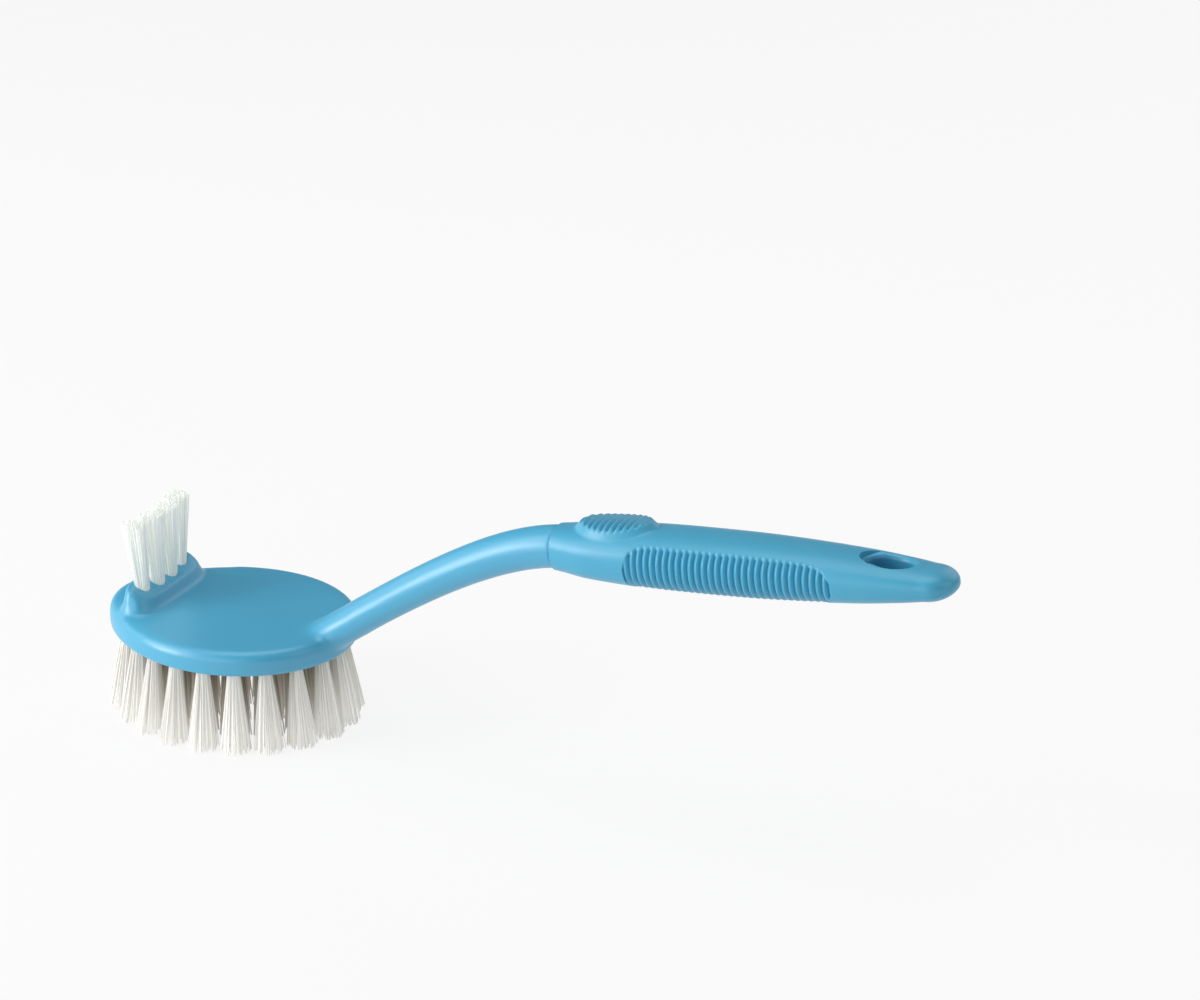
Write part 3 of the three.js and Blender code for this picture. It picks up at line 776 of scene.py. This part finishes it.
def moulded_plastic(name, colour, deeper, rough, gloss, shaded=None, shade=None):
    """Plastic with a faint cloud in its colour and a fine grain, and painted shade where shaded says."""
    look = Look(name)
    place = object_place(look)
    cloud = look.node("ShaderNodeTexNoise", {}, {"Vector": place, "Scale": 38.0, "Detail": 3.0})
    grain = look.node("ShaderNodeTexNoise", {}, {"Vector": place, "Scale": 1400.0, "Detail": 2.0})
    tint = mix(look, cloud, colour, deeper)
    if shaded:
        tint = mix(look, shaded(look, place), tint, shade)
    bump = look.node("ShaderNodeBump", {}, {"Strength": 0.01, "Distance": 0.1 * MM, "Height": grain})
    look.set(Base_Color=tint, Roughness=rough + CLOUD_ROUGHNESS * (cloud - 0.5), Normal=bump)
    look.set(IOR=1.49, Specular_IOR_Level=gloss)
    return look.material


def painted_shade_in_hanging_hole(look, place):
    """Painted shade, high inside the hanging hole, most at the end towards the neck, and nothing outside
    its rim.
    """
    middle = SEAM + HANG_HOLE_AT * GRIP_WAY
    x, y, z = axes(look, place)
    along = (x - middle.x) * GRIP_WAY.x + (z - middle.z) * GRIP_WAY.z
    ahead = along * (1 / HANG_HOLE_HALF_LONG)
    aside = y * (1 / HANG_HOLE_HALF_WIDE)
    inside = rising(look, ahead * ahead + aside * aside, *HOLE_SHADE_FADE)
    return inside * (HOLE_SHADE - HOLE_SHADE_LEAN * ahead)


def painted_shade_among_tufts(look, x, y):
    """Painted shade, one deep among the tufts, where little light comes in, and nothing on the outer
    ring's outside.
    """
    ahead = (x - HEAD_WIDEST_X) * (1 / AMONG_TUFTS_REACH)
    aside = y * (1 / (HEAD_WIDTH / 2))
    return rising(look, ahead * ahead + aside * aside, *AMONG_TUFTS_FADE)


def bristle_nylon(name, colour, shade, tip_level, root_level, shaded=None):
    """Nylon with painted shade towards the roots and where shaded says, and a tone that differs from
    filament to filament.
    """
    look = Look(name)
    x, y, z = axes(look, object_place(look))
    # Painted shade: darker from the tips up to the roots
    depth = rising(look, z, tip_level, root_level)
    strand = look.node("ShaderNodeAttribute", {"attribute_name": "filament_shade"}, output="Fac")
    dark = ROOT_SHADE * depth + STRAND_SHADE * strand
    # Painted shade among the tufts, deeper towards the roots
    if shaded:
        dark = dark + shaded(look, x, y) * (AMONG_TUFTS_SHADE + AMONG_ROOTS_SHADE * depth)
    mixed = mix(look, dark, colour, shade)
    rough = NYLON_ROUGHNESS + STRAND_ROUGHNESS * strand
    # Painted light: the nylon glows in its own colour, brightening it where the lamps do not reach
    look.set(Base_Color=mixed, Roughness=rough, Emission_Color=mixed)
    look.set(IOR=1.53, Emission_Strength=NYLON_PAINTED_GLOW)
    return look.material


def drawn_wire(name, colour, deeper):
    """Metal with fine streaks, as wire has when it is drawn."""
    look = Look(name)
    streak = look.node(
        "ShaderNodeMapping", {}, {"Vector": object_place(look), "Scale": (300.0, 300.0, 4000.0)})
    draw = look.node("ShaderNodeTexNoise", {}, {"Vector": streak, "Scale": 1.0, "Detail": 3.0})
    rough = WIRE_ROUGHNESS + STREAK_ROUGHNESS * draw
    look.set(Base_Color=mix(look, draw, colour, deeper), Roughness=rough, Metallic=1.0)
    return look.material


BLUE = moulded_plastic("blue_moulding", linear(71, 172, 210), linear(66, 167, 206), 0.36, 0.95)
# The grip's blue, with painted shade inside the hanging hole
GRIP_BLUE = moulded_plastic(
    "blue_grip", linear(74, 170, 205), linear(68, 165, 201), 0.36, 0.6,
    shaded=painted_shade_in_hanging_hole, shade=linear(48, 130, 168))
# Bristle nylon, with painted shade among the tufts and towards the roots
NYLON = bristle_nylon(
    "bristle_nylon", linear(250, 250, 247), linear(124, 112, 88), 4 * MM, UNDERSIDE, shaded=painted_shade_among_tufts)
# Tip nylon, with painted shade towards its roots on the ridge
TIP_NYLON = bristle_nylon(
    "tip_nylon", linear(247, 248, 245), linear(172, 186, 179), 56 * MM, RIDGE_TOP)
WIRE = drawn_wire("anchor_wire", linear(196, 172, 112), linear(168, 144, 88))


# Pieces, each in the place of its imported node

def wear(piece, material):
    piece.data.materials.clear()
    piece.data.materials.append(material)


def add_piece(piece, node, material):
    wear(piece, material)
    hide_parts(node)
    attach(piece, "root")


add_piece(make_head_and_neck(), "head_and_neck", BLUE)
add_piece(make_grip(), "handle_grip", GRIP_BLUE)
for ring_name, ring_node, tufts in (
        ("brush_outer_tufts", "outer_bristles", ring_tufts(0, 20, OUTER_ROOT_RADIUS)),
        ("brush_middle_tufts", "middle_bristles", ring_tufts(1, 14, INNER_ROOT_RADIUS)),
        ("brush_inner_tufts", "inner_bristles", ring_tufts(2, 8, INNER_ROOT_RADIUS, with_middle=True))):
    add_piece(bristle_piece(ring_name, tufts), ring_node, NYLON)
add_piece(bristle_piece("brush_tip_tufts", tip_tufts()), "tip_bristles", TIP_NYLON)
for node_name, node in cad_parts.items():
    if "_anchor_" in node_name:
        wear(node, WIRE)


# Floor, light and camera

FLOOR_SIZE = 40
FLOOR_WHITENESS = 0.84
WORLD_LIGHT = 0.2

# Name, place, what it points at, width and height, watts
LAMPS = [
    ("key", (-1.0, -0.72, 1.0), (0.05, 0, 0.05), (1, 1), 8.2),
    ("top", (-0.05, 0.1, 1.1), (0.05, 0, 0.05), (0.8, 0.8), 3.5),
    ("left", (-1.05, 0.12, 0.36), (0.05, 0, 0.06), (0.7, 0.5), 1.2),
    ("back", (0.35, 0.95, 0.5), (0, 0, 0.04), (0.7, 0.6), 1.4),
    ("right", (1.1, 0.1, 0.6), (0.2, 0, 0.08), (0.8, 0.8), 2),
    ("front", (-1.0, -0.92, 0.34), (0, 0, 0.04), (0.62, 0.62), 9.5),
    ("fill", (0, -1.3, 0.4), (0, 0, 0.04), (1, 0.8), 3.4),
]
CAMERA_PLACE = (0.7058, -1.1746, 0.6433)
CAMERA_DOWN = math.radians(22.7899)
CAMERA_TURN = math.radians(26.2966)
CAMERA_LENS = 146.25


def make_floor():
    """A pale floor that looks white straight on and in reflections, and keeps the brush's shadow."""
    start_clean()
    bpy.ops.mesh.primitive_plane_add(size=FLOOR_SIZE, location=(0, 0, 0))
    floor = bpy.context.object
    floor.name = "floor"
    look = Look("pale_floor")
    cloud = look.node("ShaderNodeTexNoise", {}, {"Vector": object_place(look), "Scale": 3.0})
    look.set(Base_Color=mix(look, cloud, (0.86, 0.86, 0.86, 1), (0.84, 0.84, 0.84, 1)), Roughness=0.9)
    straight, mirrored, through = (
        look.node("ShaderNodeLightPath", output=ray)
        for ray in ("Is Camera Ray", "Is Glossy Ray", "Is Transmission Ray"))
    seen = look.node("ShaderNodeClamp", {}, {"Value": straight + mirrored + through})
    glow = look.node("ShaderNodeEmission", {}, {"Color": (1, 1, 1, 1), "Strength": 1.0})
    lit = Value(look, look.shader.outputs[0])
    both = look.node("ShaderNodeMixShader", {}, {0: FLOOR_WHITENESS * seen, 1: lit, 2: glow})
    look.tree.links.new(both.socket, look.tree.nodes["Material Output"].inputs[0])
    floor.data.materials.append(look.material)


def add_area(name, place, target, size, power):
    start_clean()
    bpy.ops.object.light_add(type="AREA", location=place)
    lamp = bpy.context.object
    lamp.name = name
    lamp.data.shape = "RECTANGLE"
    lamp.data.size, lamp.data.size_y = size
    lamp.data.energy = power
    lamp.rotation_euler = (Vector(target) - Vector(place)).to_track_quat("-Z", "Y").to_euler()


def make_light():
    world = bpy.data.worlds.new("soft_room")
    bpy.context.scene.world = world
    world.use_nodes = True
    background = world.node_tree.nodes["Background"]
    background.inputs["Color"].default_value = (1, 1, 1, 1)
    background.inputs["Strength"].default_value = WORLD_LIGHT
    for lamp in LAMPS:
        add_area(*lamp)


def make_camera():
    bpy.ops.object.camera_add(location=CAMERA_PLACE)
    camera = bpy.context.object
    camera.name = "camera"
    camera.rotation_euler = (math.pi / 2 - CAMERA_DOWN, 0, CAMERA_TURN)
    camera.data.lens = CAMERA_LENS
    camera.data.sensor_width = 36
    camera.data.clip_start = 0.05
    bpy.context.scene.camera = camera


make_floor()
make_light()
make_camera()
bpy.context.scene.view_settings.view_transform = "Standard"
